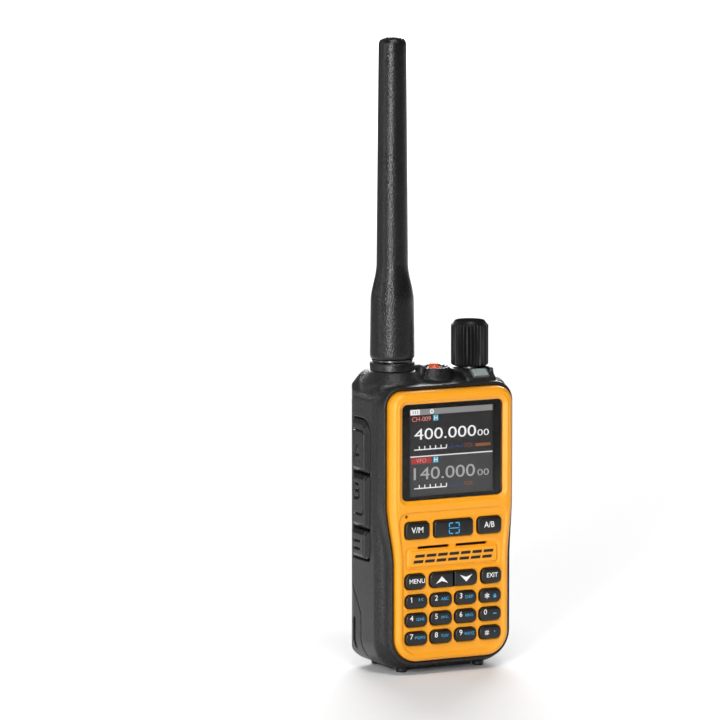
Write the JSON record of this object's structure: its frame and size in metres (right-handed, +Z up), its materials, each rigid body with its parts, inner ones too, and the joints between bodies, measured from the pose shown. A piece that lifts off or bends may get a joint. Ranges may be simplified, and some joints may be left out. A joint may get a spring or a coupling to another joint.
{
  "type": "handheld aviation radio",
  "caption": "Handheld air-band radio with colour display, number keypad, side talk keys, whip antenna, volume knob, accessory port cover and a tilt-out battery.",
  "frame": {"origin": "on the standing surface, below the middle of the case", "axes": "+X to the right as seen facing the display, +Y from the front to the back, +Z up along the antenna"},
  "size_m": [0.058, 0.0353, 0.2366],
  "materials": {
    "yellow_bezel": "satin, fine spark texture",
    "graphite_case": "matt, fine grain",
    "key_black": "satin",
    "black_rubber": "matt",
    "display_glass": "polished, black border",
    "clear_lens": "polished",
    "smoke_window": "satin",
    "mirror_plate": "polished",
    "lamp_orange": "glossy",
    "lcd_stack": "smooth",
    "silicone_mat": "matt",
    "circuit_board": "solder mask",
    "plated_steel": "satin",
    "gold_brass": "plated",
    "cast_aluminium": "as cast",
    "black_plastic": "satin",
    "cell_wrap": "wrapped can"
  },
  "bodies": {
    "radio_body": {"main_housing": "graphite_case", "front_bezel": "yellow_bezel", "display_window": "display_glass", "status_window": "smoke_window", "case_screw_low_left": "plated_steel", "case_screw_low_right": "plated_steel", "case_screw_high_left": "plated_steel", "case_screw_high_right": "plated_steel", "lcd_module": "lcd_stack", "keypad_mat": "silicone_mat", "speaker": "black_plastic", "microphone": "plated_steel", "main_board": "circuit_board", "rf_shield": "plated_steel", "chassis_frame": "cast_aluminium", "side_switch_board": "circuit_board", "battery_terminals": "gold_brass", "headset_jack": "black_plastic", "microphone_jack": "black_plastic", "usb_socket": "plated_steel", "antenna_ring": "black_plastic", "antenna_connector": "gold_brass", "volume_encoder": "black_plastic", "torch_reflector": "mirror_plate", "torch_led": "lamp_orange", "torch_lens": "clear_lens", "accessory_cover_anchor": "black_rubber"},
    "antenna": {"antenna_whip": "black_rubber", "antenna_collar": "plated_steel"},
    "volume_control": {"volume_knob": "black_rubber", "volume_shaft": "cast_aluminium"},
    "accessory_cover": {"accessory_cover": "black_rubber"},
    "battery_pack": {"battery_case": "graphite_case", "battery_cover": "black_plastic", "battery_cell_left": "cell_wrap", "battery_cell_right": "cell_wrap"},
    "battery_latch": {"battery_latch": "black_plastic"},
    "key_vm": {"key_vm": "key_black"},
    "key_scan": {"key_scan": "key_black"},
    "key_ab": {"key_ab": "key_black"},
    "key_menu": {"key_menu": "key_black"},
    "key_up": {"key_up": "key_black"},
    "key_down": {"key_down": "key_black"},
    "key_exit": {"key_exit": "key_black"},
    "key_1": {"key_1": "key_black"},
    "key_2": {"key_2": "key_black"},
    "key_3": {"key_3": "key_black"},
    "key_star": {"key_star": "key_black"},
    "key_4": {"key_4": "key_black"},
    "key_5": {"key_5": "key_black"},
    "key_6": {"key_6": "key_black"},
    "key_0": {"key_0": "key_black"},
    "key_7": {"key_7": "key_black"},
    "key_8": {"key_8": "key_black"},
    "key_9": {"key_9": "key_black"},
    "key_hash": {"key_hash": "key_black"},
    "ptt_key_a": {"ptt_key_a": "black_rubber"},
    "ptt_key_b": {"ptt_key_b": "black_rubber"},
    "side_key": {"side_key": "black_rubber"}
  },
  "joints": [
    {"name": "key_vm_press", "type": "slide", "parent": "radio_body", "child": "key_vm", "axis": [0, 1, 0], "range_m": [0, 0.0006], "stiffness_N_per_m": 1500, "springref_m": -0.0003},
    {"name": "key_scan_press", "type": "slide", "parent": "radio_body", "child": "key_scan", "axis": [0, 1, 0], "range_m": [0, 0.0006], "stiffness_N_per_m": 1500, "springref_m": -0.0003},
    {"name": "key_ab_press", "type": "slide", "parent": "radio_body", "child": "key_ab", "axis": [0, 1, 0], "range_m": [0, 0.0006], "stiffness_N_per_m": 1500, "springref_m": -0.0003},
    {"name": "key_menu_press", "type": "slide", "parent": "radio_body", "child": "key_menu", "axis": [0, 1, 0], "range_m": [0, 0.0006], "stiffness_N_per_m": 1500, "springref_m": -0.0003},
    {"name": "key_up_press", "type": "slide", "parent": "radio_body", "child": "key_up", "axis": [0, 1, 0], "range_m": [0, 0.0006], "stiffness_N_per_m": 1500, "springref_m": -0.0003},
    {"name": "key_down_press", "type": "slide", "parent": "radio_body", "child": "key_down", "axis": [0, 1, 0], "range_m": [0, 0.0006], "stiffness_N_per_m": 1500, "springref_m": -0.0003},
    {"name": "key_exit_press", "type": "slide", "parent": "radio_body", "child": "key_exit", "axis": [0, 1, 0], "range_m": [0, 0.0006], "stiffness_N_per_m": 1500, "springref_m": -0.0003},
    {"name": "key_1_press", "type": "slide", "parent": "radio_body", "child": "key_1", "axis": [0, 1, 0], "range_m": [0, 0.0006], "stiffness_N_per_m": 1500, "springref_m": -0.0003},
    {"name": "key_2_press", "type": "slide", "parent": "radio_body", "child": "key_2", "axis": [0, 1, 0], "range_m": [0, 0.0006], "stiffness_N_per_m": 1500, "springref_m": -0.0003},
    {"name": "key_3_press", "type": "slide", "parent": "radio_body", "child": "key_3", "axis": [0, 1, 0], "range_m": [0, 0.0006], "stiffness_N_per_m": 1500, "springref_m": -0.0003},
    {"name": "key_star_press", "type": "slide", "parent": "radio_body", "child": "key_star", "axis": [0, 1, 0], "range_m": [0, 0.0006], "stiffness_N_per_m": 1500, "springref_m": -0.0003},
    {"name": "key_4_press", "type": "slide", "parent": "radio_body", "child": "key_4", "axis": [0, 1, 0], "range_m": [0, 0.0006], "stiffness_N_per_m": 1500, "springref_m": -0.0003},
    {"name": "key_5_press", "type": "slide", "parent": "radio_body", "child": "key_5", "axis": [0, 1, 0], "range_m": [0, 0.0006], "stiffness_N_per_m": 1500, "springref_m": -0.0003},
    {"name": "key_6_press", "type": "slide", "parent": "radio_body", "child": "key_6", "axis": [0, 1, 0], "range_m": [0, 0.0006], "stiffness_N_per_m": 1500, "springref_m": -0.0003},
    {"name": "key_0_press", "type": "slide", "parent": "radio_body", "child": "key_0", "axis": [0, 1, 0], "range_m": [0, 0.0006], "stiffness_N_per_m": 1500, "springref_m": -0.0003},
    {"name": "key_7_press", "type": "slide", "parent": "radio_body", "child": "key_7", "axis": [0, 1, 0], "range_m": [0, 0.0006], "stiffness_N_per_m": 1500, "springref_m": -0.0003},
    {"name": "key_8_press", "type": "slide", "parent": "radio_body", "child": "key_8", "axis": [0, 1, 0], "range_m": [0, 0.0006], "stiffness_N_per_m": 1500, "springref_m": -0.0003},
    {"name": "key_9_press", "type": "slide", "parent": "radio_body", "child": "key_9", "axis": [0, 1, 0], "range_m": [0, 0.0006], "stiffness_N_per_m": 1500, "springref_m": -0.0003},
    {"name": "key_hash_press", "type": "slide", "parent": "radio_body", "child": "key_hash", "axis": [0, 1, 0], "range_m": [0, 0.0006], "stiffness_N_per_m": 1500, "springref_m": -0.0003},
    {"name": "ptt_key_a_press", "type": "slide", "parent": "radio_body", "child": "ptt_key_a", "axis": [1, 0, 0], "range_m": [0, 0.0008], "stiffness_N_per_m": 2000, "springref_m": -0.0004},
    {"name": "ptt_key_b_press", "type": "slide", "parent": "radio_body", "child": "ptt_key_b", "axis": [1, 0, 0], "range_m": [0, 0.0008], "stiffness_N_per_m": 2000, "springref_m": -0.0004},
    {"name": "side_key_press", "type": "slide", "parent": "radio_body", "child": "side_key", "axis": [1, 0, 0], "range_m": [0, 0.0008], "stiffness_N_per_m": 2000, "springref_m": -0.0004},
    {"name": "volume_turn", "type": "hinge", "parent": "radio_body", "child": "volume_control", "pos_m": [0.0166, 0.0014, 0.118], "axis": [0, 0, 1], "range_deg": [-255, 30]},
    {"name": "antenna_unscrew", "type": "hinge", "parent": "radio_body", "child": "antenna", "pos_m": [-0.016, 0.0014, 0.118], "axis": [0, 0, 1], "range_deg": [0, 1800]},
    {"name": "cover_fold", "type": "hinge", "parent": "radio_body", "child": "accessory_cover", "pos_m": [0.029, -0.0021, 0.05145], "axis": [0, 1, 0], "range_deg": [0, 110], "stiffness_Nm_per_rad": 0.004, "springref_deg": -11.46},
    {"name": "battery_tilt", "type": "hinge", "parent": "radio_body", "child": "battery_pack", "pos_m": [0, 0.0174, 0.10165], "axis": [1, 0, 0], "range_deg": [0, 25]},
    {"name": "latch_swing", "type": "hinge", "parent": "battery_pack", "child": "battery_latch", "pos_m": [0, 0.0133, 0.0013], "axis": [1, 0, 0], "range_deg": [0, 8], "stiffness_Nm_per_rad": 0.03, "springref_deg": -17.19}
  ]
}
